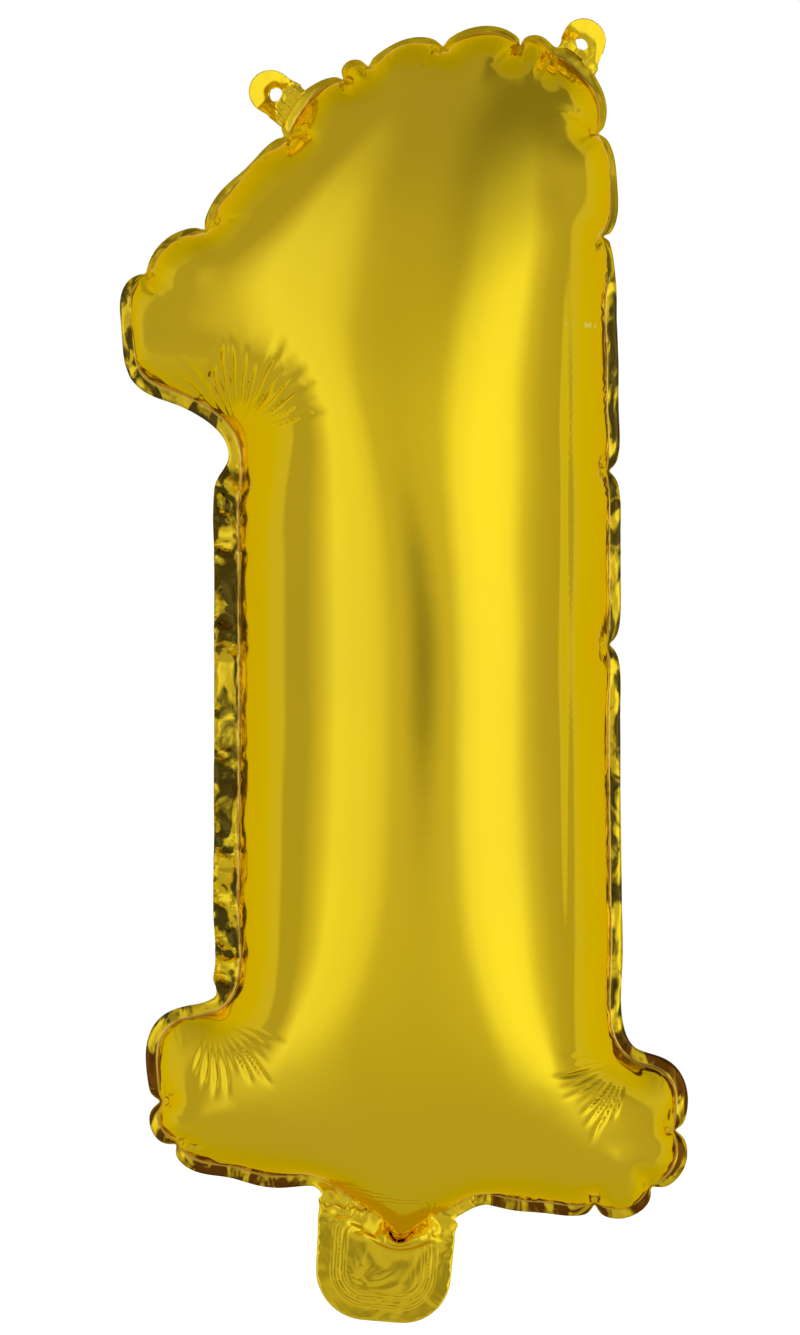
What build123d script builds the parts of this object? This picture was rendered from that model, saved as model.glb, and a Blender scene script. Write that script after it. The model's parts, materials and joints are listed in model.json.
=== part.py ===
"""Foil number balloon, the digit one, air filled, of the 40 cm (16 inch) class.

Two panels of metallised film are welded face to face round their edge. Two clear valve films lie flat
between them at the neck, and two punched tabs on the crown hang the balloon up.

Millimetres. X runs across the digit, Z up it and -Y towards the person who reads it. The weld lies on
the plane Y = 0, and the origin is midway between the two eyelets, where a hanging line would pass.
"""

from build123d import *
import os

# ---- Driving dimensions ------------------------------------------------------------------------
FILM = 0.3  # one ply of metallised film, modelled thicker than the real 0.05 mm
VALVE_FILM = 0.15  # one ply of clear valve film, also modelled thick
FOLD_GAP = 1.2  # slot between two plies that a fold line joins; the fold axis is in its middle

EYELET = Vector(47.0, 0, 7.5)  # the right eyelet's centre; the left one is its opposite
EYELET_RADIUS = 2.15
TAB_HEAD_RADIUS = 6.8
LEFT_HEAD = Vector(-48.7, 0, -6.7)  # centres of the tabs' round heads
RIGHT_HEAD = Vector(48.3, 0, 9.4)
TAB_ROOT = 14.0  # length of the fold line at a tab's root

NECK_WIDTH = 39.5
NECK_LENGTH = 38.0
NECK_CORNER = 14.0
VALVE_WIDTH = 30.0
VALVE_CORNER = 8.0
VALVE_REACH = 60.0  # how far the valve films run into the air space above the fold line
INLET_SETBACK = 6.0  # the valve films stop this far short of the neck's mouth

# ---- Outline of the welded flange, as corners (x, z) and the radius of each ----------------------
TAB_LEFT_EDGE = ((-96.5, -66.0), (-25.0, 3.8))  # the flag's upper edge, which bears the left tab
TAB_RIGHT_EDGE = ((38.5, 8.0), (57.0, -4.0))  # the crown's right shoulder, which bears the right tab
BASE_EDGE = ((-80.0, -342.5), (68.0, -357.5))  # the foot's lower edge, which bears the neck

CORNERS = [
    (TAB_LEFT_EDGE[0], 12),
    (TAB_LEFT_EDGE[1], 14),
    ((22.0, 15.2), 50),
    ((34.0, 13.0), 4),
    (TAB_RIGHT_EDGE[0], 3),
    (TAB_RIGHT_EDGE[1], 8),
    ((59.5, -301.0), 14),
    ((81.0, -314.0), 6),
    ((76.5, -338.0), 14),
    (BASE_EDGE[1], 8),
    (BASE_EDGE[0], 9),
    ((-87.5, -297.0), 9),
    ((-68.5, -290.5), 6),
    ((-66.5, -108.0), 10),
    ((-95.5, -102.5), 15),
]

# ---- Air space: three limbs, each a row of elliptical sections -----------------------------------
# A section is (station, low edge, high edge, half depth). The stem's stations are heights and its
# edges are X; the flag's and the foot's stations are X and their edges are heights.
STEM_SECTIONS = [
    (-335, -48, 48, 25),
    (-315, -56, 54, 41),
    (-285, -58, 56, 51),
    (-230, -58, 55.5, 56),
    (-150, -58, 55.5, 58),
    (-105, -58, 55, 57),
    (-60, -55, 54.5, 51),
    (-25, -46, 54, 41),
    (-10, -36, 51, 32),
    (0, -22, 46, 22),
    (6, -4, 36, 12),
    (9, 5, 30, 4),
]
FLAG_SECTIONS = [
    (-91, -87, -69, 4),
    (-88, -93, -63.5, 12),
    (-80, -99, -57, 22),
    (-68, -104, -47, 34),
    (-55, -108, -33, 43),
    (-35, -112, -20, 50),
    (-10, -105, -30, 52),
]
FOOT_SECTIONS = [
    (-83, -321, -301, 4),
    (-79, -331, -296, 11),
    (-68, -338, -292, 20),
    (-48, -341.5, -287, 33),
    (-20, -345, -283, 40),
    (15, -348, -285, 41),
    (45, -351, -293, 37),
    (60, -351, -304, 30),
    (70, -345, -310, 19),
    (76, -335, -315, 6),
]


def stem_plane(height, middle):
    """Level section plane across the stem."""
    return Plane(origin=(middle, 0, height), x_dir=(1, 0, 0), z_dir=(0, 0, 1))


def limb_plane(across, middle):
    """Upright section plane across the flag or the foot."""
    return Plane(origin=(across, 0, middle), x_dir=(0, 0, 1), z_dir=(1, 0, 0))


def limb(sections, section_plane, inset):
    """One limb of the air space, lofted; inset moves its whole surface inwards."""
    first = sections[0][0]
    last = sections[-1][0]
    with BuildPart() as body:
        for station, low, high, depth in sections:
            shift = inset if station == first else -inset if station == last else 0
            with BuildSketch(section_plane(station + shift, (low + high) / 2)):
                Ellipse((high - low) / 2 - inset, depth - inset)
        loft()
    return body.part


def air_space(inset):
    """The inflated volume: stem, flag and foot run into each other."""
    with BuildPart() as volume:
        add(limb(STEM_SECTIONS, stem_plane, inset))
        add(limb(FLAG_SECTIONS, limb_plane, inset))
        add(limb(FOOT_SECTIONS, limb_plane, inset))
    return volume.part


def edge_plane(edge, along):
    """Seam-plane sketch plane on a straight flange edge: x runs along the edge, and z is -Y."""
    start = Vector(edge[0][0], 0, edge[0][1])
    end = Vector(edge[1][0], 0, edge[1][1])
    run = (end - start).normalized()
    return Plane(origin=start + run * along, x_dir=run, z_dir=(0, -1, 0))


def rounded_strip(width, length, corner):
    """Sketch of a strip that hangs from its top edge at y = 0, with its two lower corners rounded."""
    with BuildSketch() as strip:
        Rectangle(width, length, align=(Align.CENTER, Align.MAX))
        fillet(strip.vertices().group_by(Axis.Y)[0], corner)
    return strip.sketch


def turned(plane):
    """The same plane turned half a turn about its normal, so that a hanging strip stands up."""
    return Plane(origin=plane.origin, x_dir=-plane.x_dir, z_dir=plane.z_dir)


def lowered(plane, drop):
    """The same plane moved down its own y axis."""
    return Plane(origin=plane.from_local_coords((0, -drop, 0)), x_dir=plane.x_dir, z_dir=plane.z_dir)


# ---- Local planes, at the middle of each fold line -----------------------------------------------
NECK_PLANE = edge_plane(BASE_EDGE, 69.2)
LEFT_TAB_PLANE = edge_plane(TAB_LEFT_EDGE, 76.6)
RIGHT_TAB_PLANE = edge_plane(TAB_RIGHT_EDGE, 8.7)

VALVE_PLANE = turned(NECK_PLANE)  # the valve films stand up from the neck's fold line
MOUTH_PLANE = lowered(NECK_PLANE, FOLD_GAP)  # the neck and its lining hang below the slot

FRONT = 1  # the seam sketches face -Y, so a positive amount builds the front ply
BACK = -1

# ---- Shared outlines and volumes -----------------------------------------------------------------
with BuildSketch(Plane.XZ) as flange_outline:
    with BuildLine():
        points = [corner for corner, radius in CORNERS]
        radii = [radius for corner, radius in CORNERS]
        FilletPolyline(*points, radius=radii, close=True)
    make_face()

neck_drop = NECK_LENGTH - FOLD_GAP
neck_strip = rounded_strip(NECK_WIDTH, neck_drop, NECK_CORNER)
inlet_strip = rounded_strip(VALVE_WIDTH, neck_drop - INLET_SETBACK, VALVE_CORNER)
valve_strip = rounded_strip(VALVE_WIDTH, VALVE_REACH, VALVE_CORNER)

outer_volume = air_space(0)
inner_volume = air_space(FILM)


# ---- Film panels ---------------------------------------------------------------------------------
def panel(side):
    """One film panel: its half of the inflated skin and its flange ply, let out for the valve film."""
    kept_half = Keep.TOP if side == FRONT else Keep.BOTTOM
    with BuildPart() as skin:
        add(outer_volume)
        split(bisect_by=Plane.XZ, keep=kept_half)
        with BuildSketch(Plane.XZ):
            add(flange_outline.face())
        extrude(amount=side * FILM)
        add(inner_volume, mode=Mode.SUBTRACT)
        with BuildSketch(VALVE_PLANE):
            add(valve_strip)
        extrude(amount=side * VALVE_FILM, mode=Mode.SUBTRACT)
    return skin


front_panel = panel(FRONT)
back_panel = panel(BACK)


# ---- Valve: two clear films in the air space, and their ends in the neck --------------------------
def film(plane, strip, side):
    """A flat clear film that lies against the seam plane on one side of it."""
    with BuildPart() as sheet:
        with BuildSketch(plane):
            add(strip)
        extrude(amount=side * VALVE_FILM)
    return sheet


valve_front_film = film(VALVE_PLANE, valve_strip, FRONT)
valve_back_film = film(VALVE_PLANE, valve_strip, BACK)
valve_inlet_front_film = film(MOUTH_PLANE, inlet_strip, FRONT)
valve_inlet_back_film = film(MOUTH_PLANE, inlet_strip, BACK)


# ---- Neck: one film ply each side of the valve's inlet --------------------------------------------
def neck_ply(side):
    """A flat ply of the neck, let out on its inner face for the valve film."""
    with BuildPart() as ply:
        with BuildSketch(MOUTH_PLANE):
            add(neck_strip)
        extrude(amount=side * FILM)
        with BuildSketch(MOUTH_PLANE):
            add(inlet_strip)
        extrude(amount=side * VALVE_FILM, mode=Mode.SUBTRACT)
    return ply


neck_front_ply = neck_ply(FRONT)
neck_back_ply = neck_ply(BACK)


# ---- Hanging tabs: both plies welded into one, with a punched eyelet -------------------------------
def hanging_tab(plane, eyelet, head):
    """A tab that runs from its root, above the slot, to a round head about the eyelet."""
    hole_centre = plane.to_local_coords(eyelet)
    head_centre = plane.to_local_coords(head)
    with BuildPart() as tab:
        with BuildSketch(plane):
            with BuildLine():
                Line((-TAB_ROOT / 2, FOLD_GAP), (TAB_ROOT / 2, FOLD_GAP))
                CenterArc((head_centre.X, head_centre.Y), TAB_HEAD_RADIUS, 0, 360)
            make_hull()
            with Locations((0, FOLD_GAP)):
                Rectangle(2 * TAB_ROOT, TAB_ROOT, align=(Align.CENTER, Align.MAX), mode=Mode.SUBTRACT)
            with Locations((hole_centre.X, hole_centre.Y)):
                Circle(EYELET_RADIUS, mode=Mode.SUBTRACT)
        extrude(amount=FILM, both=True)
    return tab


hang_tab_left = hanging_tab(LEFT_TAB_PLANE, -EYELET, LEFT_HEAD)
hang_tab_right = hanging_tab(RIGHT_TAB_PLANE, EYELET, RIGHT_HEAD)

# ---- Write each piece ----------------------------------------------------------------------------
pieces = {
    "front_panel": front_panel,
    "back_panel": back_panel,
    "valve_front_film": valve_front_film,
    "valve_back_film": valve_back_film,
    "valve_inlet_front_film": valve_inlet_front_film,
    "valve_inlet_back_film": valve_inlet_back_film,
    "neck_front_ply": neck_front_ply,
    "neck_back_ply": neck_back_ply,
    "hang_tab_left": hang_tab_left,
    "hang_tab_right": hang_tab_right,
}

os.makedirs("parts", exist_ok=True)
for name, piece in pieces.items():
    piece.part.label = name
    export_step(piece.part, f"parts/{name}.step")

# The fold axes, for the joints: a point in the middle of each slot, and the direction of its edge.
for name, plane, drop in (
    ("neck_fold", NECK_PLANE, FOLD_GAP / 2),
    ("tab_left_fold", LEFT_TAB_PLANE, -FOLD_GAP / 2),
    ("tab_right_fold", RIGHT_TAB_PLANE, -FOLD_GAP / 2),
):
    axis_plane = lowered(plane, drop)
    print(name, axis_plane.origin, axis_plane.x_dir)
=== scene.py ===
"""Looks of the foil number balloon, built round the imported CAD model.

The film is simulated the way the real balloon is made. Two flat panels are cut to one pattern, welded
along a seam with a border outside it, and blown up by pressure, which pulls the straight seams in and
puckers the curved ones. The inflated film is then eased onto the seam of the CAD model, smoothed where
tight film has no wrinkles, and given its leaning border, plump lobes and creases.

Lengths are in millimetres until a mesh is made, and in metres from then on. Points of two numbers are
X and Z on the seam plane.
"""

import json
import math

import bpy
import numpy as np
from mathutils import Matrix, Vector
from mathutils.geometry import delaunay_2d_cdt


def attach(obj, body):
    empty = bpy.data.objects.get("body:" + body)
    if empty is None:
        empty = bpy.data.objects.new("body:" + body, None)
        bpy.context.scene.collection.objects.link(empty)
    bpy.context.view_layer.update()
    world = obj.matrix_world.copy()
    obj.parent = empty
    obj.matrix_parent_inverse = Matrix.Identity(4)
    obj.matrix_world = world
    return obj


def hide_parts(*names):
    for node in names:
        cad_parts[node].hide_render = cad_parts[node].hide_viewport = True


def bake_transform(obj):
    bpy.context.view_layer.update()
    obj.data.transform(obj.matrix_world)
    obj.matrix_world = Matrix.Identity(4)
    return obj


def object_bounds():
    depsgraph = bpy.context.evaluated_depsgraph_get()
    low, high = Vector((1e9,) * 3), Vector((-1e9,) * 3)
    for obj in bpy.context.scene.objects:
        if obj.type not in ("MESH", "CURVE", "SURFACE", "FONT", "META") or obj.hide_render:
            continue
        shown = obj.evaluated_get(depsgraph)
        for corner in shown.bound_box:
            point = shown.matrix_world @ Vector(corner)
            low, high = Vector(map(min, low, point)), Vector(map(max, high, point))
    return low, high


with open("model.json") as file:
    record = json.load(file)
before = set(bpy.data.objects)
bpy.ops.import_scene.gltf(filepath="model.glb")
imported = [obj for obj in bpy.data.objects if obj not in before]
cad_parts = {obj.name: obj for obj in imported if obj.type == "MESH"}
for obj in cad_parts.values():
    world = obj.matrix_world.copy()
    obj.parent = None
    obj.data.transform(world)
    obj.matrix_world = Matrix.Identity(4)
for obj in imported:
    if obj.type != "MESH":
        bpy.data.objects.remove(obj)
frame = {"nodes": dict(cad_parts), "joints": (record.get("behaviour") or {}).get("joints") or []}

MM = 0.001
CAD_BOX = [list(corner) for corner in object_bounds()]

# ---- The flat pattern ----
# Corners of the seam on the flat film, with a radius each. Inflation pulls it in to the CAD seam.
SEAM_PATTERN = [
    ((-112, -45), 20), ((-76, 0), 60), ((-27, 33), 25), ((22, 39), 40), ((66, 24), 30), ((84, -30), 80),
    ((91, -110), 200), ((88, -303), 7), ((98, -318), 9), ((82, -355), 12), ((33, -368), 9), ((-8, -376), 7),
    ((-43, -361.5), 9), ((-81, -351), 16), ((-103, -309), 12), ((-92, -290), 9), ((-93, -200), 300),
    ((-98, -112), 12), ((-117, -84), 16),
]
NECK_PATTERN = [
    ((-49, -348), 5), ((-34, -377), 14), ((-35.5, -408), 16), ((5.5, -411.5), 17), ((8.5, -382), 14),
    ((38, -352), 5),
]
# Where the border folds over between two lobes. The film is nicked in a little there.
FOLDS = [
    (-107, -41), (-93, -19), (-59, 10), (-34, 27), (-21, 33), (5, 37), (35, 34), (49, 29),
    (76, 1), (83, -36), (91, -114), (91, -171), (89, -337), (79, -353), (61, -364),
    (-86, -342), (-94, -329),
]
# The line pressed into the neck by the valve's weld.
VALVE_WELD = [((-25, -350), 5), ((-28.5, -402), 9), ((-0.5, -405), 9), ((3, -350), 5)]
NECK_LINE = -371  # film that is lower than this and within the neck's width is the neck's own piece
NECK_MIDDLE = -13
NECK_HALF_WIDTH = 32
BORDER = 4.3
STEM_BORDER = 8.6  # the border is wider along the stem's left side
STEM_BORDER_ENDS = (-292, -112)
STEM_BORDER_RAMP = (4, 14)  # it widens between these distances from each end
STEM_SIDE = -80  # left of this the seam is the stem's left side
NICK = 0.9
NICK_WIDTH = 3
LOBE_START = 1.6  # how far to the front or the back each lobe's border is before the film is blown up
LOBE_RISE = 2.4  # how far each lobe's seam arcs out between its folds
LONG_LOBES = (34, 60)  # lobes longer than this are straight instead

# ---- The mesh and the simulation ----
FINE_STEP = 1.7
COARSE_STEP = 3.7
FINE_BAND = 22
FAN_MESH = 50  # the mesh is fine within this distance of a fan's corner on the flat film
TAB_STEP = 0.6
EYELET_POINTS = 40
VALVE_STEP = 1.6
CLOTH_SCALE = 10  # Cloth's settings suit larger things than this, so it is simulated enlarged
CLOTH_FRAMES = 25
CLOTH_STIFFNESS = 80
CLOTH_DAMPING = 5
CLOTH = {
    "quality": 6,
    "mass": 0.2,
    "air_damping": 10,
    "bending_model": "ANGULAR",
    "bending_stiffness": 0.5,
    "bending_damping": 0.5,
    "use_pressure": True,
    "uniform_pressure_force": 20,
    "vertex_group_pressure": "pressed",
}

# ---- Easing it onto the CAD seam ----
SCALLOP_WAVES = 30  # the seam is eased onto the CAD seam with no more waves than this
SEAM_WAVES = 48  # it keeps no tighter waves of its own than these
ARC_WAVES = 220  # and its lobes are as sharp as this many waves allow
# The film is smoothed further than TAUT_FROM from the seam, and fully from TAUT_FULL on.
TAUT_FROM = 0.5
TAUT_FULL = 15
TAUT_TURNS = 70
TAUT_RATE = 0.5
# Within these distances of a tab the seam's arcs fade out, it nears its plane, and the film is smoothed.
TAB_ARC = (5, 12)
TAB_PLANE = (6, 20)
TAB_SMOOTH = (9, 16)
TAB_SMOOTH_RATE = 0.45
NECK_RISE = 22  # how much higher the neck ends up when the film is blown up
NECK_SETTLED = 9  # it keeps its flat size from this distance below the border on
NECK_CALM = 0.88  # share of its waves that is taken away there

# ---- Border ----
# How far back it leans, in degrees: on the crown, elsewhere, where it folds over, and at a tab.
CROWN_LEAN = 46
SIDE_LEAN = 12
FOLD_LEAN = 80
TAB_LEAN = 22
CROWN_BASE = -60  # the crown is above this height
FOLD_SPAN = 4.5  # it comes back from a fold over about this length
SWAYS = ((37, 9), (15, 9), (7, 6))  # wavelengths of its crinkles, and their slopes in degrees
STEM_SWAYS = ((41, 16), (17, 22), (9, 20))  # the same beside the stem

# ---- Creases and lobes ----
# Fans of creases at the three inward corners of the seam: the corner on the flat film, the first and
# last direction in degrees, the number of creases, and how far they reach once the film is blown up.
FANS = [
    ((-97, -111), 8, 150, 14, 36),
    ((-91, -291), -115, -12, 10, 32),
    ((87, -303), 165, 258, 10, 32),
]
FAN_DEPTH = 1.7
# Long single creases: their ends once the film is blown up, their depth and their half width.
LONG_CREASES = [
    ((-58, -110), (-37, -91), 1.0, 1.1),
    ((-69, -101), (-62, -84), 1.0, 1.1),
    ((42.5, -50), (42.5, -300), 0.4, 1.2),
]
LOBE_PLUMP = 1.5  # how much each short lobe is plumped up, over a band this deep
LOBE_DEPTH = 34
LOBE_TURNS = 12  # the plumpness is evened out this many times
RIPPLE_WAVE = 3.4  # fine ripples run along the short lobes, this far inside the seam
RIPPLE_PLACE = 11
RIPPLE_WIDTH = 2.5
RIPPLE_DEPTH = 0.16
FOLD_CREASE = 1.2  # depth of the crease that runs in from each fold of the border
CROWN_CREASES = (24, 38)  # how far those on the crown run; the others run half as far
PUCKER_WAVES = (2.6, 3.7)
PUCKER_DEPTH = 0.09

# ---- Tabs, valve and thicknesses ----
ROOT_OVERLAP = 0.5  # the tabs' roots reach this share of half the border's width into the border
TAB_BEND = 9  # the tabs leave the border's slope and reach the seam plane over this distance
TAB_TWIST = 0.34  # the tabs' heads turn to the side by this slope
TAB_GATHER = 0.16  # depth of the gathers at their roots
DIMPLE_DEPTH = 0.8  # the film is pressed back round each eyelet
DIMPLE_WIDTH = 1.7
THIN_ROOT = 2.5  # the tabs' film is thinner this near to the border
VALVE_SPAN = (-341, -291)  # heights that the valve films reach
INLET_SPAN = (-384, -370)  # heights that their inlets in the neck reach
VALVE_LOOSE = (-356, -351)  # they leave the neck between these heights
VALVE_PLY = 0.07
PLY = 0.15  # thickness that a ply of film is drawn with
PLAY = 0.02  # room between plies that lie on each other
LINING = 0.1  # room between the neck's plies for the valve films
HOLLOW = 0.4  # how far the inner face of an inflated panel lies below its outer face


# ---- Curves on the seam plane ----
def smooth(value, low, high):
    """0 up to low and 1 from high on, with a smooth rise between."""
    t = np.clip((value - low) / (high - low), 0, 1)
    return t * t * (3 - 2 * t)


def lengths(vectors):
    return np.linalg.norm(vectors, axis=-1)


def arc_lengths(curve):
    """Distance along a closed curve at each point, and at its end."""
    return np.r_[0, np.cumsum(lengths(np.roll(curve, -1, axis=0) - curve))]


def wander(at, whole, waves, generator):
    """A smooth random function of the place along a closed curve, made of sine waves."""
    return sum(
        generator.normal() * np.sin(2 * np.pi * k * at / whole + generator.uniform(0, 6.28)) for k in waves
    )


def resample(curve, count):
    """The same closed curve with evenly spaced points."""
    along = arc_lengths(curve)
    ring = np.vstack([curve, curve[:1]])
    places = np.arange(count) / count * along[-1]
    return np.stack([np.interp(places, along, ring[:, k]) for k in range(2)], axis=1)


def turned_one_way(curve):
    """The closed curve with its inside on the left."""
    after = np.roll(curve, -1, axis=0)
    area = np.sum(curve[:, 0] * after[:, 1] - after[:, 0] * curve[:, 1])
    return curve if area > 0 else curve[::-1]


def outward(curve):
    """Unit normals that point out of a closed curve."""
    ahead = np.roll(curve, -1, axis=0) - np.roll(curve, 1, axis=0)
    ahead /= lengths(ahead)[:, None]
    return np.c_[ahead[:, 1], -ahead[:, 0]]


def low_pass(values, waves):
    """Values round a closed curve with only about that many waves kept."""
    spectrum = np.fft.rfft(values, axis=0)
    keep = np.exp(-((np.arange(len(spectrum)) / waves) ** 4))
    return np.fft.irfft(spectrum * keep[:, None], n=len(values), axis=0)


def rounded_polygon(corners, step):
    """A closed curve of straight runs and arcs, from corners and their radii."""
    places = np.array([point for point, radius in corners], float)
    curve = []
    for k, (point, radius) in enumerate(corners):
        back = places[k - 1] - point
        ahead = places[(k + 1) % len(places)] - point
        shorter = min(np.linalg.norm(back), np.linalg.norm(ahead))
        back /= np.linalg.norm(back)
        ahead /= np.linalg.norm(ahead)
        half = math.acos(np.clip(back @ ahead, -1, 1)) / 2
        reach = min(radius / math.tan(half), 0.49 * shorter)
        radius = reach * math.tan(half)
        middle = (back + ahead) / np.linalg.norm(back + ahead)
        centre = point + middle * radius / math.sin(half)
        first = point + back * reach - centre
        last = point + ahead * reach - centre
        start = math.atan2(first[1], first[0])
        sweep = (math.atan2(last[1], last[0]) - start + math.pi) % (2 * math.pi) - math.pi
        for t in np.linspace(0, 1, max(3, int(abs(sweep) * radius / step) + 2)):
            angle = start + sweep * t
            curve.append(centre + radius * np.array([math.cos(angle), math.sin(angle)]))
    curve = turned_one_way(np.array(curve))
    return resample(curve, int(arc_lengths(curve)[-1] / step))


def is_inside(points, curve):
    """Which points lie inside a closed curve."""
    x, z = points[:, 0], points[:, 1]
    inside = np.zeros(len(points), bool)
    for (x0, z0), (x1, z1) in zip(curve, np.roll(curve, -1, axis=0)):
        if z0 != z1:
            inside ^= ((z0 > z) != (z1 > z)) & (x < (x1 - x0) * (z - z0) / (z1 - z0) + x0)
    return inside


def nearest(points, curve):
    """Each point's distance to the nearest sample of a curve, and that sample's number."""
    distance = np.empty(len(points))
    number = np.empty(len(points), int)
    for start in range(0, len(points), 4000):
        part = slice(start, start + 4000)
        gaps = lengths(points[part, None] - curve)
        number[part] = gaps.argmin(axis=1)
        distance[part] = gaps.min(axis=1)
    return distance, number


# ---- The CAD model's seam and border ----
def flat_loops(node):
    """The edges of a CAD node's flat face on its front or back, as curves, the longest one last."""
    mesh = frame["nodes"][node].data
    points = np.empty(3 * len(mesh.vertices))
    mesh.vertices.foreach_get("co", points)
    places, same = np.unique(np.round(points.reshape(-1, 3) / MM, 3), axis=0, return_inverse=True)
    same = same.ravel()
    levels, counts = np.unique(places[:, 1], return_counts=True)
    counts[np.abs(levels) < 0.1] = 0
    on_face = np.abs(places[:, 1] - levels[counts.argmax()]) < 1e-3
    uses = {}
    for polygon in mesh.polygons:
        corners = [same[v] for v in polygon.vertices]
        if on_face[corners].all():
            for a, b in zip(corners, corners[1:] + corners[:1]):
                key = (min(a, b), max(a, b))
                uses[key] = uses.get(key, 0) + 1
    follow = {}
    for (a, b), count in uses.items():
        if count == 1:
            follow.setdefault(a, []).append(b)
            follow.setdefault(b, []).append(a)
    loops = []
    left = set(follow)
    while left:
        loop = [left.pop()]
        onward = True
        while onward:
            onward = [v for v in follow[loop[-1]] if v in left]
            if onward:
                loop.append(onward[0])
                left.discard(onward[0])
        loops.append(turned_one_way(places[loop][:, [0, 2]]))
    return sorted(loops, key=lambda loop: arc_lengths(loop)[-1])


# ---- Cutting the film ----
def grid_inside(curve, step, generator):
    """Points on a slightly uneven triangular grid inside a closed curve, and their distances to it."""
    low, high = curve.min(axis=0), curve.max(axis=0)
    rows = []
    for row, z in enumerate(np.arange(low[1], high[1], step * math.sqrt(3) / 2)):
        across = np.arange(low[0] + (row % 2) * step / 2, high[0], step)
        rows.append(np.c_[across, np.full(len(across), z)])
    points = np.vstack(rows)
    points += generator.normal(0, step * 0.08, points.shape)
    points = points[is_inside(points, curve)]
    return points, nearest(points, curve)[0]


def triangulate(curve, inner, hole=()):
    """Triangles over a closed curve, less a hole, and the points inside it, numbered in that order."""
    edges = []
    for loop, first in ((curve, 0), (hole, len(curve))):
        edges += [(first + i, first + (i + 1) % len(loop)) for i in range(len(loop))]
    points = np.vstack([loop for loop in (curve, hole, inner) if len(loop)])
    made = delaunay_2d_cdt([Vector(point) for point in points], edges, [], 1, 1e-6)
    triangles = np.array(made[2])
    a, b, c = (points[triangles[:, k]] for k in range(3))
    turn = (b[:, 0] - a[:, 0]) * (c[:, 1] - a[:, 1]) - (b[:, 1] - a[:, 1]) * (c[:, 0] - a[:, 0])
    triangles[turn < 0] = triangles[turn < 0][:, ::-1]
    if len(hole):
        triangles = triangles[~is_inside(points[triangles].mean(axis=1), hole)]
    return triangles


def strip(inner, outer):
    """Triangles between two rings of vertices."""
    inner_next = np.roll(inner, -1)
    outer_next = np.roll(outer, -1)
    return np.vstack([np.c_[inner, outer, outer_next], np.c_[inner, outer_next, inner_next]])


def nicked_seam():
    """The seam on the flat film, dented a little where the border folds, and the number of each fold."""
    seam = rounded_polygon(SEAM_PATTERN, FINE_STEP)
    folds = np.sort(nearest(np.array(FOLDS, float), seam)[1])
    along = arc_lengths(seam)[:-1]
    dent = np.zeros(len(seam))
    for fold in folds:
        dent = np.maximum(dent, NICK * np.exp(-(((along - along[fold]) / NICK_WIDTH) ** 2)))
    return seam - outward(seam) * dent[:, None], folds


def border_widths(seam):
    """The border's width at each point of the seam."""
    low, high = STEM_BORDER_ENDS
    inside = np.minimum(seam[:, 1] - low, high - seam[:, 1])
    share = smooth(inside, *STEM_BORDER_RAMP) * (seam[:, 0] < STEM_SIDE)
    return BORDER + (STEM_BORDER - BORDER) * share


def lobes(seam, folds):
    """At each point of the seam: a smooth arch from fold to fold, the lobe's number and its length."""
    along = arc_lengths(seam)
    arch = np.zeros(len(seam))
    number = np.zeros(len(seam), int)
    length = np.zeros(len(seam))
    for k, fold in enumerate(folds):
        following = folds[(k + 1) % len(folds)]
        span = (following - fold) % len(seam)
        members = (fold + np.arange(span)) % len(seam)
        arch[members] = np.sin(np.pi * np.arange(span) / span)
        number[members] = k
        length[members] = (along[following] - along[fold]) % along[-1]
    return arch, number, length


def near_fan(points, margin):
    """Which points lie where a fan of creases needs a fine mesh."""
    corners = np.array([corner for corner, *_ in FANS], float)
    return nearest(points, corners)[0] < FAN_MESH + margin


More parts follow.
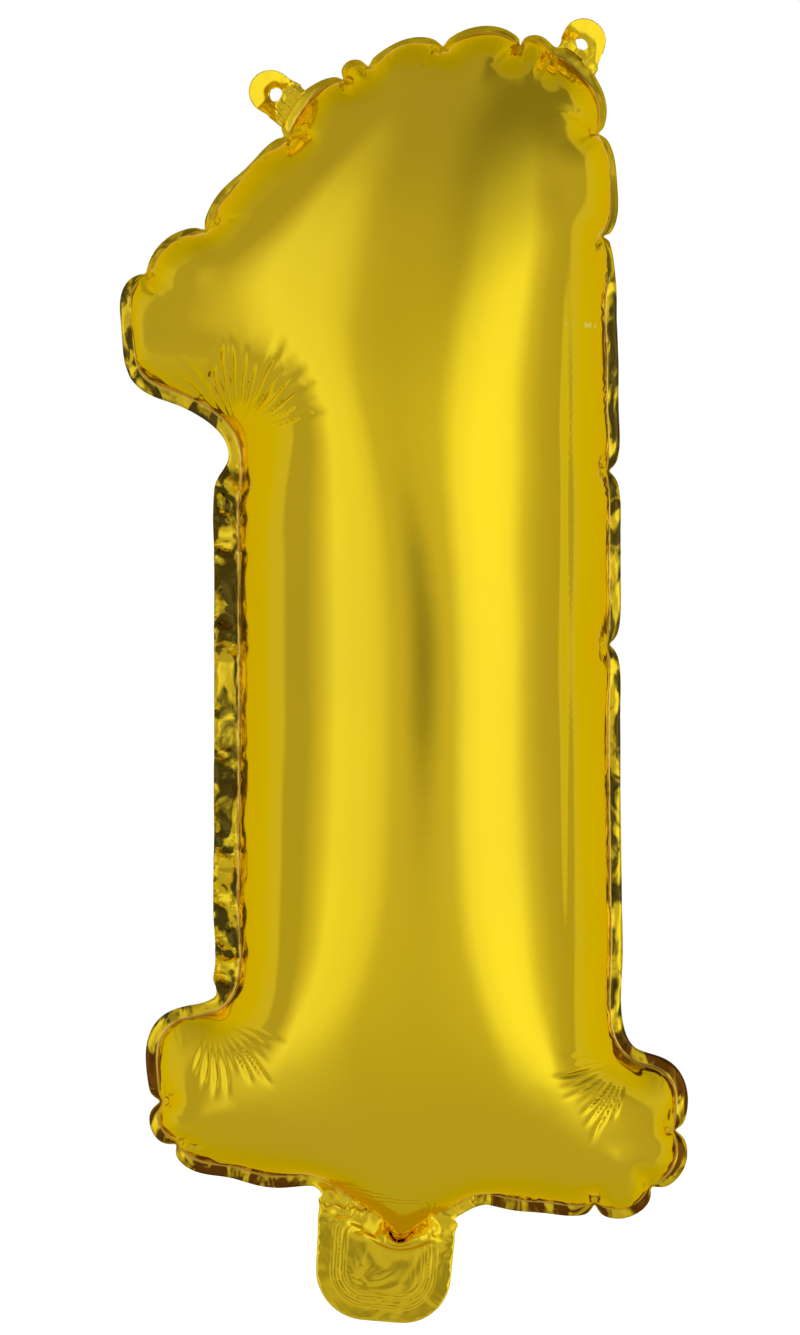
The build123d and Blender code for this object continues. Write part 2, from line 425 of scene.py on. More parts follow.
def cut_film(generator):
    """The flat film as one mesh: two panels that share the seam, and one layer outside it.

    Vertices come in this order: seam, front panel, back panel, two rings of the border, neck.
    """
    seam, folds = nicked_seam()
    count = len(seam)
    fine, gap = grid_inside(seam, FINE_STEP, generator)
    fine = fine[(gap > FINE_STEP * 0.55) & ((gap < FINE_BAND) | near_fan(fine, 0))]
    coarse, gap = grid_inside(seam, COARSE_STEP, generator)
    coarse = coarse[(gap > FINE_BAND + COARSE_STEP * 0.3) & ~near_fan(coarse, COARSE_STEP * 0.3)]
    inner = np.vstack([fine, coarse])
    panel = triangulate(seam, inner)
    front_end = count + len(inner)
    back_end = front_end + len(inner)
    to_back = np.r_[np.arange(count), front_end + np.arange(len(inner))]

    width = border_widths(seam)[:, None]
    middle_ring = seam + outward(seam) * width / 2
    outer_ring = seam + outward(seam) * width
    middle_at = back_end + np.arange(count)
    outer_at = middle_at + count
    neck_at = back_end + 2 * count

    neck = rounded_polygon(NECK_PATTERN, FINE_STEP)
    free = ~is_inside(neck, outer_ring)
    free &= nearest(neck, outer_ring)[0] > FINE_STEP * 0.5
    start = np.flatnonzero(free & ~np.roll(free, 1))[0]
    neck_edge = np.roll(neck, -start, axis=0)[: free.sum()]
    first = nearest(neck_edge[:1], outer_ring)[1][0]
    last = nearest(neck_edge[-1:], outer_ring)[1][0]
    root = (last - np.arange((last - first) % count + 1)) % count
    neck_curve = np.vstack([neck_edge, outer_ring[root]])
    neck_inner, gap = grid_inside(neck_curve, FINE_STEP, generator)
    neck_inner = neck_inner[gap > FINE_STEP * 0.55]
    numbers = np.r_[
        neck_at + np.arange(len(neck_edge)),
        outer_at[root],
        neck_at + len(neck_edge) + np.arange(len(neck_inner)),
    ]
    neck_triangles = numbers[triangulate(neck_curve, neck_inner)]

    flat = np.vstack([seam, inner, inner, middle_ring, outer_ring, neck_edge, neck_inner])
    layers = {
        "front": panel,
        "back": to_back[panel][:, ::-1],
        "border": np.vstack([strip(np.arange(count), middle_at), strip(middle_at, outer_at), neck_triangles]),
    }
    places = np.zeros((len(flat), 3))
    places[:, [0, 2]] = flat
    depth = np.minimum(nearest(inner, seam)[0], 30) / 30
    dome = 3 * np.sqrt(1 - (1 - depth) ** 2)
    places[count:front_end, 1] = -dome
    places[front_end:back_end, 1] = dome
    arch, number = lobes(seam, folds)[:2]
    lean = LOBE_START * arch * (1 - 2 * (number % 2))
    places[middle_at, 1] = lean * 0.6
    places[outer_at, 1] = lean * 1.2
    parts = {
        "seam": np.arange(count),
        "held": np.setdiff1d(np.arange(count), root),
        "inside": np.arange(count, back_end),
        "middle": middle_at,
        "outer": outer_at,
        "root": root,
        "folds": folds,
        "neck": np.arange(neck_at, len(flat)),
    }
    return places, flat, layers, parts


# ---- Blowing it up ----
def placed(name, data):
    """A new object in the scene."""
    obj = bpy.data.objects.new(name, data)
    bpy.context.scene.collection.objects.link(obj)
    return obj


def inflate(places, layers, parts):
    """The film's places after Cloth has settled under pressure."""
    triangles = np.vstack(list(layers.values()))
    mesh = bpy.data.meshes.new("inflating")
    mesh.from_pydata((places * MM * CLOTH_SCALE).tolist(), [], triangles.tolist())
    obj = placed("inflating", mesh)
    pressed = obj.vertex_groups.new(name="pressed")
    pressed.add(parts["inside"].tolist(), 1.0, "REPLACE")
    modifier = obj.modifiers.new("cloth", "CLOTH")
    settings = modifier.settings
    for name, value in CLOTH.items():
        setattr(settings, name, value)
    for force in ("tension", "compression", "shear"):
        setattr(settings, force + "_stiffness", CLOTH_STIFFNESS)
        setattr(settings, force + "_damping", CLOTH_DAMPING)
    settings.effector_weights.gravity = 0
    modifier.collision_settings.use_collision = False
    modifier.collision_settings.use_self_collision = False
    modifier.point_cache.frame_start = 1
    modifier.point_cache.frame_end = CLOTH_FRAMES
    scene = bpy.context.scene
    scene.frame_start = 1
    scene.frame_end = CLOTH_FRAMES
    for number in range(1, CLOTH_FRAMES + 1):
        scene.frame_set(number)
    settled = np.empty(3 * len(places))
    shown = obj.evaluated_get(bpy.context.evaluated_depsgraph_get())
    shown.data.vertices.foreach_get("co", settled)
    bpy.data.objects.remove(obj)
    bpy.data.meshes.remove(mesh)
    scene.frame_set(1)
    return settled.reshape(-1, 3) / MM / CLOTH_SCALE


# ---- Easing it onto the CAD seam ----
def levelled(places, seam):
    """The places with the seam's mean plane turned onto Y = 0."""
    terms = np.c_[np.ones(len(places)), places[:, 0], places[:, 2]]
    fit = np.linalg.lstsq(terms[seam], places[seam, 1], rcond=None)[0]
    moved = places.copy()
    moved[:, 1] -= terms @ fit
    return moved


def fitted(places, held, target):
    """The places turned and slid within the seam plane so that the held seam lies best on the target."""
    moved = places.copy()
    for turn in range(20):
        flat = moved[held][:, [0, 2]]
        goal = target[nearest(flat, target)[1]]
        centre = flat.mean(axis=0)
        goal_centre = goal.mean(axis=0)
        left, _, right = np.linalg.svd((flat - centre).T @ (goal - goal_centre))
        rotation = left @ right
        moved[:, [0, 2]] = (moved[:, [0, 2]] - centre) @ rotation + goal_centre
    return moved


def pulled(places, held, shift):
    """The places with the held seam shifted and everything near it following."""
    flat = places[held][:, [0, 2]]
    moved = places.copy()
    for start in range(0, len(moved), 4000):
        part = slice(start, start + 4000)
        gaps = lengths(places[part][:, None, [0, 2]] - flat)
        weights = (gaps + 2) ** -3.0
        moved[part] += weights @ shift / weights.sum(axis=1)[:, None]
    return moved


def eased(places, flat, parts, target, tab_roots):
    """The places shifted smoothly so that the held seam follows the target, arcing out at each lobe."""
    held = parts["held"]
    moved = places
    for turn in range(3):
        seam = moved[held][:, [0, 2]]
        shift = low_pass(target[nearest(seam, target)[1]] - seam, SCALLOP_WAVES)
        moved = pulled(moved, held, np.insert(shift, 1, 0, axis=1))
    arch, _, length = lobes(flat[parts["seam"]], parts["folds"])
    rise = LOBE_RISE * (arch**0.7 - 0.5) * (1 - smooth(length, *LONG_LOBES))
    goal = low_pass(moved[parts["seam"]], SEAM_WAVES)
    from_tab = nearest(goal[:, [0, 2]], tab_roots)[0]
    rise *= smooth(from_tab, *TAB_ARC)
    goal[:, 1] *= smooth(from_tab, *TAB_PLANE)
    goal[:, [0, 2]] += outward(goal[:, [0, 2]]) * low_pass(rise[:, None], ARC_WAVES)
    for turn in range(4):
        moved = pulled(moved, held, (goal - moved[parts["seam"]])[held])
    return moved


def tautened(places, flat, layers, parts, tab_roots):
    """The panels with their wrinkles smoothed away, except near the seam, as tight film has none there.

    Near the roots of the tabs they are smoothed right up to the seam.
    """
    seam = flat[parts["seam"]]
    gap = np.zeros(len(places))
    gap[parts["inside"]] = nearest(flat[parts["inside"]], seam)[0]
    rate = TAUT_RATE * np.clip((gap - TAUT_FROM) / (TAUT_FULL - TAUT_FROM), 0, 1) ** 2
    sparse = (gap > FINE_BAND) & ~near_fan(flat, 0)
    rate *= np.where(sparse, (FINE_STEP / COARSE_STEP) ** 2 * 1.6, 1)
    near_tab = 1 - smooth(nearest(places[:, [0, 2]], tab_roots)[0], *TAB_SMOOTH)
    rate = np.maximum(rate, TAB_SMOOTH_RATE * near_tab * smooth(gap, 0.3, 2.5))
    neighbour_mean = averager(np.vstack([layers["front"], layers["back"]]), len(places))
    moved = places.copy()
    for turn in range(TAUT_TURNS):
        mean = np.stack([neighbour_mean(moved[:, k]) for k in range(3)], axis=1)
        moved += (mean - moved) * rate[:, None]
    return moved


def settled_neck(places, flat, parts):
    """The neck brought back to its flat size below the bulge, keeping part of its waves."""
    neck = parts["neck"]
    below = nearest(flat[neck], flat[parts["outer"][parts["root"]]])[0]
    share = smooth(below, 0, NECK_SETTLED)
    moved = places.copy()
    moved[neck, 0] += (flat[neck, 0] - places[neck, 0]) * share
    moved[neck, 2] += (flat[neck, 1] + NECK_RISE - places[neck, 2]) * share
    moved[neck, 1] *= 1 - NECK_CALM * share
    return moved


def crinkles(along, sways, generator):
    """Sharp random slopes along a closed curve, in radians."""
    total = np.zeros(len(along))
    for wavelength, degrees in sways:
        phase = 2 * np.pi * along / wavelength + 2 * np.sin(2 * np.pi * along / (wavelength * 3.7))
        total += math.radians(degrees) * 2 / np.pi * np.arcsin(np.sin(phase + generator.uniform(0, 6.28)))
    return total


def leaning_border(places, flat, parts, tab_roots, generator):
    """The border laid out from the seam: leaning back, crinkled, and turned well back at its folds."""
    seam = places[parts["seam"]]
    flat_seam = flat[parts["seam"]]
    direction = low_pass(outward(seam[:, [0, 2]]), 120)
    direction /= lengths(direction)[:, None]
    width = border_widths(flat_seam)
    beside_stem = (width - BORDER) / (STEM_BORDER - BORDER)
    on_crown = smooth(seam[:, 2], CROWN_BASE - 15, CROWN_BASE)
    along = arc_lengths(flat_seam)[:-1]
    at_fold = np.exp(-nearest(flat_seam, flat_seam[parts["folds"]])[0] / FOLD_SPAN)
    near_tab = 1 - smooth(nearest(seam[:, [0, 2]], tab_roots)[0], 5, 11)
    at_neck = np.zeros(len(seam))
    at_neck[parts["root"]] = 1
    free = 1 - np.clip(low_pass(at_neck[:, None], 60)[:, 0] * 1.6, at_neck, 1)
    base = math.radians(CROWN_LEAN) * on_crown + math.radians(SIDE_LEAN) * (1 - on_crown)
    moved = places.copy()
    start = seam
    for ring in ("middle", "outer"):
        sway = crinkles(along, SWAYS, generator) * (1 - beside_stem)
        sway += crinkles(along, STEM_SWAYS, generator) * beside_stem
        lean = (base + (math.radians(FOLD_LEAN) - base) * at_fold) * (1 - near_tab)
        lean += math.radians(TAB_LEAN) * near_tab
        laid = start.copy()
        laid[:, [0, 2]] += direction * (width / 2 * np.cos(lean))[:, None]
        laid[:, 1] += width / 2 * np.sin(lean + sway * (1 - near_tab))
        moved[parts[ring]] += (laid - places[parts[ring]]) * free[:, None]
        start = laid
    return moved


# ---- Surfaces ----
def all_sides(triangles):
    """Each triangle's three sides, as pairs of vertices."""
    return triangles[:, [0, 1, 1, 2, 2, 0]].reshape(-1, 2)


def spread_sum(edges, values):
    """At each vertex, the sum of a value over its neighbours."""
    count = len(values)
    ahead = np.bincount(edges[:, 0], weights=values[edges[:, 1]], minlength=count)
    return ahead + np.bincount(edges[:, 1], weights=values[edges[:, 0]], minlength=count)


def mesh_edges(triangles):
    """Each edge once, the number of the edge on each triangle's sides, and which edges are open."""
    sides = np.sort(all_sides(triangles), axis=1)
    edges, same, uses = np.unique(sides, axis=0, return_inverse=True, return_counts=True)
    return edges, same.ravel(), uses == 1


def averager(triangles, count):
    """A function that gives the mean of a value over each vertex's neighbours."""
    edges = mesh_edges(triangles)[0]
    share = np.bincount(edges.ravel(), minlength=count).clip(1)
    return lambda values: spread_sum(edges, values) / share


def subdivided(values, triangles):
    """One step of Loop subdivision. Old vertices keep their numbers.

    Returns the new values, the children of each triangle, and the new vertex on each of its sides.
    """
    edges, same, open_edge = mesh_edges(triangles)
    opposite = triangles[:, [2, 0, 1]].ravel()
    count = len(values)
    rim = edges[open_edge]
    degree = np.bincount(edges.ravel(), minlength=count)
    rim_degree = np.bincount(rim.ravel(), minlength=count)
    beta = np.where(degree == 3, 3 / 16, 3 / (8 * degree.clip(1)))
    columns = []
    for column in values.T:
        ends = column[edges[:, 0]] + column[edges[:, 1]]
        across = np.bincount(same, weights=column[opposite], minlength=len(edges))
        middle = np.where(open_edge, ends / 2, ends * 3 / 8 + across / 8)
        inner = column * (1 - degree * beta) + beta * spread_sum(edges, column)
        old = np.where(rim_degree > 0, column * 3 / 4 + spread_sum(rim, column) / 8, inner)
        columns.append(np.r_[old, middle])
    middles = count + same.reshape(-1, 3)
    a, b, c = triangles.T
    ab, bc, ca = middles.T
    children = np.c_[a, ab, ca, b, bc, ab, c, ca, bc, ab, bc, ca].reshape(-1, 4, 3)
    return np.stack(columns, axis=1), children, middles


def vertex_normals(points, triangles):
    a, b, c = (points[triangles[:, k]] for k in range(3))
    facing = np.cross(b - a, c - a)
    normals = np.zeros_like(points)
    for axis in range(3):
        for corner in range(3):
            normals[:, axis] += np.bincount(triangles[:, corner], facing[:, axis], minlength=len(points))
    return normals / lengths(normals).clip(1e-9)[:, None]


def make_piece(name, points, triangles, **measures):
    """A smooth-shaded object from points in millimetres, with measures of each point stored on it."""
    used, numbers = np.unique(triangles, return_inverse=True)
    mesh = bpy.data.meshes.new(name)
    mesh.from_pydata((points[used] * MM).tolist(), [], numbers.reshape(-1, 3).tolist())
    mesh.polygons.foreach_set("use_smooth", [True] * len(mesh.polygons))
    for measure, values in measures.items():
        mesh.attributes.new(measure, "FLOAT", "POINT").data.foreach_set("value", values[used])
    mesh.update()
    return placed(name, mesh)


def sheet_solid(outer, inner, children, middles, triangles, chosen=slice(None)):
    """A closed sheet over the chosen triangles: a fine outer face, a coarser inner face and a rim."""
    count = len(outer)
    coarse = triangles[chosen]
    _, same, open_edge = mesh_edges(coarse)
    open_side = open_edge[same]
    a, b = all_sides(coarse)[open_side].T
    middle = middles[chosen].ravel()[open_side]
    rim = (np.c_[middle, a, a + count], np.c_[middle, a + count, b + count], np.c_[b, middle, b + count])
    faces = np.vstack([children[chosen].reshape(-1, 3), coarse[:, ::-1] + count, *rim])
    return np.vstack([outer, inner]), faces


# ---- Lobes and creases ----
def puckered(points, normals, across, at, whole, generator):
    """The outer surface with the fine creases that gathering leaves just inside the seam."""
    waves = np.zeros(len(points))
    for wavelength in PUCKER_WAVES:
        turns = round(whole / wavelength)
        waves += np.sin(2 * np.pi * turns * at / whole + wander(at, whole, range(3, 40, 4), generator))
    strength = np.clip(0.5 + 0.25 * wander(at, whole, range(4, 40, 3), generator), 0, 1)
    inside = -across
    band = smooth(inside, 0.8, 3) * (1 - smooth(inside, 6, 14))
    return points + normals * (PUCKER_DEPTH * waves * strength * band)[:, None]


def fanned(points, normals, across, places, seam, generator):
    """The outer surface with the creases that spread from each inward corner of the seam."""
    moved = points.copy()
    for corner, first, last, count, reach in FANS:
        centre = places[nearest(np.array([corner], float), seam)[1][0], [0, 2]]
        away = points[:, [0, 2]] - centre
        radius = lengths(away)
        middle = math.radians((first + last) / 2)
        half = math.radians((last - first) / 2)
        turn = (np.arctan2(away[:, 1], away[:, 0]) - middle + np.pi) % (2 * np.pi) - np.pi
        place = (turn / half + 1) / 2 * count
        place += 0.1 * np.sin(radius * 0.3 + 2 * turn)
        crease = np.clip(place.astype(int), 0, count - 1)
        length = reach * generator.uniform(0.6, 1.0, count)[crease]
        depth = FAN_DEPTH * generator.uniform(0.3, 1.0, count)[crease]
        fold = (0.5 - 0.5 * np.cos(2 * np.pi * place)) ** 2.5
        fold *= (place > 0) & (place < count) & (across < 0)
        fold *= smooth(radius, 5, 16) * (1 - smooth(radius, 0.6 * length, length))
        moved -= normals * (depth * fold)[:, None]
    return moved


def long_creased(points, normals):
    """The outer surface of the front with its few long single creases."""
    spots = points[:, [0, 2]]
    groove = np.zeros(len(points))
    for start, end, depth, half_width in LONG_CREASES:
        start, end = np.array(start), np.array(end)
        length = np.linalg.norm(end - start)
        direction = (end - start) / length
        at = (spots - start) @ direction
        aside = (spots - start) @ np.array([-direction[1], direction[0]])
        fade = smooth(at, 0, 0.3 * length) * (1 - smooth(at, 0.7 * length, length))
        groove += depth * fade * np.exp(-((aside / half_width) ** 2))
    return points - normals * (groove * (normals[:, 1] < 0))[:, None]


def cushioned(points, normals, triangles, across, along, number, seam, folds, generator):
    """The outer surface with each short lobe plumped up, and a crease running in from each fold."""
    whole = along[-1]
    at = along[number]
    inside = -across
    arch, _, length = lobes(seam, folds)
    short = 1 - smooth(length, *LONG_LOBES)
    plump = LOBE_PLUMP * arch**0.6 * short
    width = np.clip(inside / LOBE_DEPTH, 0, 1)
    height = plump[number] * (1 - np.abs(2 * width - 1) ** 3) * (across < 0)
    neighbour_mean = averager(triangles, len(points))
    for turn in range(LOBE_TURNS):
        height = (height + neighbour_mean(height)) / 2
    depth = -height / FOLD_CREASE
    for fold in folds:
        aside = (at - along[fold] + whole / 2) % whole - whole / 2
        reach = generator.uniform(*CROWN_CREASES) * (1 if seam[fold, 1] > CROWN_BASE else 0.5)
        aside -= 0.12 * generator.normal() * inside
        groove = np.exp(-((aside / (0.9 + 0.06 * inside)) ** 2))
        depth += groove * smooth(inside, 0, 2.5) * (1 - smooth(inside, 0.35 * reach, reach))
    ripple = np.sin(2 * np.pi * round(whole / RIPPLE_WAVE) * at / whole)
    ripple *= RIPPLE_DEPTH * np.exp(-(((inside - RIPPLE_PLACE) / RIPPLE_WIDTH) ** 2)) * (arch * short)[number]
    return points + normals * (ripple - FOLD_CREASE * depth)[:, None]


def make_film(side, places, flat, layers, parts, generator):
    """One film: its panel with its ply of the border, and its ply of the neck."""
    seam = flat[parts["seam"]]
    facing = layers["border"] if side == "front" else layers["border"][:, ::-1]
    triangles = np.vstack([layers[side], facing])
    x, z = flat[triangles].mean(axis=1).T
    on_neck = (z < NECK_LINE) & (np.abs(x - NECK_MIDDLE) < NECK_HALF_WIDTH)
    used, triangles = np.unique(triangles, return_inverse=True)
    triangles = triangles.reshape(-1, 3)
    across = nearest(flat, seam)[0]
    across[parts["inside"]] *= -1
    values = np.c_[places, flat, across][used]
    values, children, middles = subdivided(values, triangles)
    fine = children.reshape(-1, 3)
    points, flat_now, across_now = values[:, :3], values[:, 3:5], values[:, 5]
    normals = vertex_normals(points, fine)
    along = arc_lengths(seam)
    number = nearest(flat_now, seam)[1]
    points = puckered(points, normals, across_now, along[number], along[-1], generator)
    points = fanned(points, normals, across_now, places, seam, generator)
    points = cushioned(points, normals, fine, across_now, along, number, seam, parts["folds"], generator)
    if side == "front":
        points = long_creased(points, normals)
    normals = vertex_normals(points, fine)
    lining = LINING * smooth(-flat_now[:, 1], -NECK_LINE, -NECK_LINE + 6)
    inset = PLAY + lining - HOLLOW * smooth(-across_now, 0, 3)
    outer = points + normals * (PLY + PLAY + lining)[:, None]
    inner = points + normals * inset[:, None]
    pressed = nearest(flat_now, rounded_polygon(VALVE_WELD, 0.4))[0]
    made = []
    for name, chosen in ((side + "_film", ~on_neck), ("neck_" + side + "_film", on_neck)):
        solid, faces = sheet_solid(outer, inner, children, middles, triangles, chosen)
        measures = {"across": np.r_[across_now, across_now], "pressed": np.r_[pressed, pressed]}
        made.append(make_piece(name, solid, faces, **measures))
    return made


# ---- Hanging tabs ----
def make_tab(node, places, parts, film_edge, generator):
    """A hanging tab: the CAD tab's outline and eyelet, joined to the border and dimpled round the hole."""
    hole, outline = flat_loops(node)
    curve = resample(outline, int(arc_lengths(outline)[-1] / TAB_STEP))
    hole = resample(hole, EYELET_POINTS)
    inner, gap = grid_inside(curve, TAB_STEP, generator)
    inner = inner[(gap > TAB_STEP / 2) & ~is_inside(inner, hole) & (nearest(inner, hole)[0] > TAB_STEP / 3)]
    flat = np.vstack([curve, hole, inner])
    triangles = triangulate(curve, inner, hole)

    gap, number = nearest(flat, film_edge)
    at_root = gap < gap.min() + 0.1
    root = film_edge[nearest(flat[at_root].mean(axis=0)[None], film_edge)[1][0]]
    ring = places[parts["outer"]]
    match = nearest(film_edge[number], ring[:, [0, 2]])[1]
    share = 1 - smooth(gap, gap.min(), TAB_BEND)
    free = 1 - share
    eyelet = hole.mean(axis=0)
    points = np.zeros((len(flat), 3))
    points[:, [0, 2]] = flat + (ring[match][:, [0, 2]] - film_edge[number]) * share[:, None]
    points[:, 1] = ring[match, 1] * share
    border = places[parts["middle"]]
    points[at_root] = ring[match[at_root]] * (1 - ROOT_OVERLAP) + border[match[at_root]] * ROOT_OVERLAP
    from_eyelet = flat - eyelet
    radius = lengths(from_eyelet)
    angle = np.arctan2(from_eyelet[:, 1], from_eyelet[:, 0])
    points[:, 1] += TAB_TWIST * from_eyelet[:, 0] * free
    points[:, 1] += DIMPLE_DEPTH * np.exp(-(((radius - lengths(hole - eyelet).mean()) / DIMPLE_WIDTH) ** 2))
    points[:, 1] += 0.05 * np.sin(7 * angle + generator.uniform(0, 6)) * smooth(radius, 3, 6) * free
    inwards = (root - eyelet) / np.linalg.norm(root - eyelet)
    sideways = (flat - root) @ np.array([-inwards[1], inwards[0]])
    gathered = smooth(gap, gap.min(), 3) * (1 - smooth(gap, 4, TAB_BEND))
    points[:, 1] += TAB_GATHER * np.sin(2.1 * sideways) * gathered

    values, children, middles = subdivided(points, triangles)
    normals = vertex_normals(values, children.reshape(-1, 3))
    thin = nearest(values[:, [0, 2]], ring[:, [0, 2]])[0] < THIN_ROOT
    half = normals * np.where(thin, PLY - PLAY, PLY + PLAY)[:, None]
    solid, faces = sheet_solid(values + half, values - half, children, middles, triangles)
    plain = np.full(len(solid), -FINE_BAND)
    measures = {"across": plain, "pressed": -plain}
    return make_piece(node.replace("hang_", "film_"), solid, faces, **measures)


# ---- Valve ----
def make_valve_film(node, side, places, parts, generator):
    """One clear film of the valve, waved like the neck that it lies in, or loose in the air space."""
    outline = flat_loops(node)[-1]
    curve = resample(outline, int(arc_lengths(outline)[-1] / VALVE_STEP))
    inner, gap = grid_inside(curve, VALVE_STEP, generator)
    inner = inner[gap > VALVE_STEP / 2]
    spots = np.vstack([curve, inner])
    triangles = triangulate(curve, inner)
    span = INLET_SPAN if "inlet" in node else VALVE_SPAN
    spots[:, 1] = np.interp(spots[:, 1], (curve[:, 1].min(), curve[:, 1].max()), span)
    around = np.r_[parts["neck"], parts["outer"][parts["root"]]]
    gaps = lengths(spots[:, None] - places[around][:, [0, 2]])
    weights = (gaps + 0.3) ** -4.0
    wave = weights @ places[around, 1] / weights.sum(axis=1)
    in_neck = 1 - smooth(spots[:, 1], *VALVE_LOOSE)
    loose = 0.25 + 0.12 * np.sin(spots[:, 0] * 0.5 + spots[:, 1] * 0.13)
    points = np.zeros((len(spots), 3))
    points[:, [0, 2]] = spots
    points[:, 1] = wave * in_neck + side * (loose * (1 - in_neck) + 0.01 * in_neck)
    if side > 0:
        triangles = triangles[:, ::-1]
    values, children, middles = subdivided(points, triangles)
    outer = values.copy()
    outer[:, 1] += side * VALVE_PLY
    solid, faces = sheet_solid(outer, values, children, middles, triangles)
    return make_piece("clear_" + node, solid, faces)


# ---- Materials ----
class Graph:
    """Adds shader nodes to a tree and links them."""

    def __init__(self, tree):
        self.tree = tree
        tree.nodes.clear()

    def add(self, kind, inputs=None, **settings):
        node = self.tree.nodes.new("ShaderNode" + kind)
        for name, value in settings.items():
            setattr(node, name, value)
        for name, value in (inputs or {}).items():
            if isinstance(value, bpy.types.NodeSocket):
                self.tree.links.new(value, node.inputs[name])
            else:
                node.inputs[name].default_value = value
        return node

    def ramp(self, value, stops):
        """A colour for each value, from (position, colour) stops."""
        node = self.add("ValToRGB", {"Fac": value})
        elements = node.color_ramp.elements
        elements[0].position = stops[0][0]
        elements[1].position = stops[-1][0]
        for position, colour in stops[1:-1]:
            elements.new(position)
        for element, (position, colour) in zip(elements, stops):
            element.position = position
            element.color = (*colour, 1)
        return node.outputs["Color"]

    def spread(self, value, low, high, to_low=0.0, to_high=1.0, kind="SMOOTHSTEP"):
        """The value taken from one range to another."""
        ends = {"Value": value, 1: low, 2: high, 3: to_low, 4: to_high}
        return self.add("MapRange", ends, interpolation_type=kind).outputs["Result"]

    def maths(self, operation, a, b=0.0):
        return self.add("Math", {0: a, 1: b}, operation=operation).outputs[0]

    def product(self, value, *factors):
        for factor in factors:
            value = self.maths("MULTIPLY", value, factor)
        return value

    def distance(self, value, middle):
        return self.maths("ABSOLUTE", self.maths("SUBTRACT", value, middle))

    def noise(self, place, scale, detail, distortion=0.0):
        inputs = {"Vector": place, "Scale": scale, "Detail": detail, "Distortion": distortion}
        return self.add("TexNoise", inputs).outputs["Fac"]

    def mixed(self, share, first, second, kind="MIX"):
        inputs = {"Fac": share, "Color1": first, "Color2": second}
        return self.add("MixRGB", inputs, blend_type=kind).outputs[0]

    def bump(self, height, strength, distance, **inputs):
        inputs = {"Height": height, "Strength": strength, "Distance": distance, **inputs}
        return self.add("Bump", inputs).outputs["Normal"]

    def finish(self, **inputs):
        """The surface's shader, with these inputs."""
        shader = self.add("BsdfPrincipled", inputs)
        self.add("OutputMaterial", {"Surface": shader.outputs[0]})


def new_material(name):
    material = bpy.data.materials.new(name)
    material.use_nodes = True
    return material, Graph(material.node_tree)


GOLD = (0.93, 0.70, 0.02)
GOLD_DULL = (0.89, 0.66, 0.03)
EDGE_TINT = (1.0, 0.80, 0.22)  # film seen edge on stays golden
# Colours across the seam, by the distance outside it in millimetres: the panel, the orange edge along the
# weld, which is painted reflection of gold film in gold film, the weld's dull line, and the border.
ACROSS = [
    (-1.2, (0.93, 0.70, 0.02)),
    (-0.8, (0.93, 0.62, 0.02)),
    (-0.2, (0.93, 0.60, 0.02)),
    (0.1, (0.62, 0.36, 0.12)),
    (0.6, (0.80, 0.54, 0.06)),
    (1.2, (0.92, 0.69, 0.04)),
]
SHADED = (0.11, 0.08, 0.01)  # painted shade for creased border that catches no light
SHADED_BELOW = (0.16, 0.06, 0.005)  # the painted shade is browner at the foot
PAINTED_SHADE_STRETCH = (1, 1, 0.42)  # the patches of painted shade are longer upwards than across
CROWN_PAINTED_SHADE = 0.25  # the painted shade is this strong on the crown
# painted highlight: the pale colour of a scuff where a fine wrinkle catches the light
SCUFF_HIGHLIGHT = (1.0, 0.93, 0.42, 1)
SCUFF_HEIGHT = -0.080
SCUFF_ENDS = (0.033, 0.059)
WELD_LINE_GAP = 2.0  # millimetres between the two lines that the valve's weld presses
CRUMPLE = 3.2  # how deep the border and the neck are crumpled


def weld_with_painted_reflection(graph, body, across):
    """The film's colour with the weld's warm edge, a painted reflection of gold film in gold film, and its
    dull line.
    """
    low = ACROSS[0][0]
    high = ACROSS[-1][0]
    stops = [((value - low) / (high - low), colour) for value, colour in ACROSS]
    # the orange band along the seam is painted reflection of gold film in gold film
    weld_and_painted_reflection = graph.ramp(graph.spread(across, low, high, kind="LINEAR"), stops)
    near = graph.spread(graph.maths("ABSOLUTE", across), 0.9, 1.4, 1.0, 0.0)
    return graph.mixed(near, body, weld_and_painted_reflection)


def painted_border_shade(graph, body, place, across, pressed):
    """The film's colour with patches of painted shade on the creased border, faint on the crown."""
    height = graph.add("SeparateXYZ", {0: place}).outputs["Z"]
    drawn_out = graph.add("Mapping", {"Vector": place, "Scale": PAINTED_SHADE_STRETCH}).outputs[0]
    # patches of painted shade that stand in for dark reflections in the creased border
    painted_shade_patches = graph.spread(graph.noise(drawn_out, 125.0, 3.0, 1.5), 0.42, 0.54)
    below_crown = graph.spread(height, -0.07, -0.02, 1.0, CROWN_PAINTED_SHADE)
    on_border = graph.product(graph.spread(across, 0.4, 1.2), graph.spread(pressed, 17, 20))
    shade = graph.ramp(graph.spread(height, -0.31, -0.29), [(0.0, SHADED_BELOW), (1.0, SHADED)])
    return graph.mixed(graph.product(painted_shade_patches, on_border, below_crown), body, shade)


def scuff_with_painted_highlight(graph, body, place):
    """The film's colour with a short broken scuff, high on the right of the front, painted pale as a
    highlight along a fine wrinkle.
    """
    x, y, z = graph.add("SeparateXYZ", {0: place}).outputs
    line = graph.spread(graph.distance(z, SCUFF_HEIGHT), 0.0003, 0.0012, 1.0, 0.0)
    broken = graph.spread(graph.noise(place, 420.0, 2.0), 0.5, 0.62)
    on_front = graph.spread(y, -0.003, 0.0, 1.0, 0.0)
    # the scuff is a painted highlight along a fine wrinkle
    scuff_highlight = graph.product(line, graph.spread(x, *SCUFF_ENDS), on_front, broken)
    return graph.mixed(scuff_highlight, body, SCUFF_HIGHLIGHT)


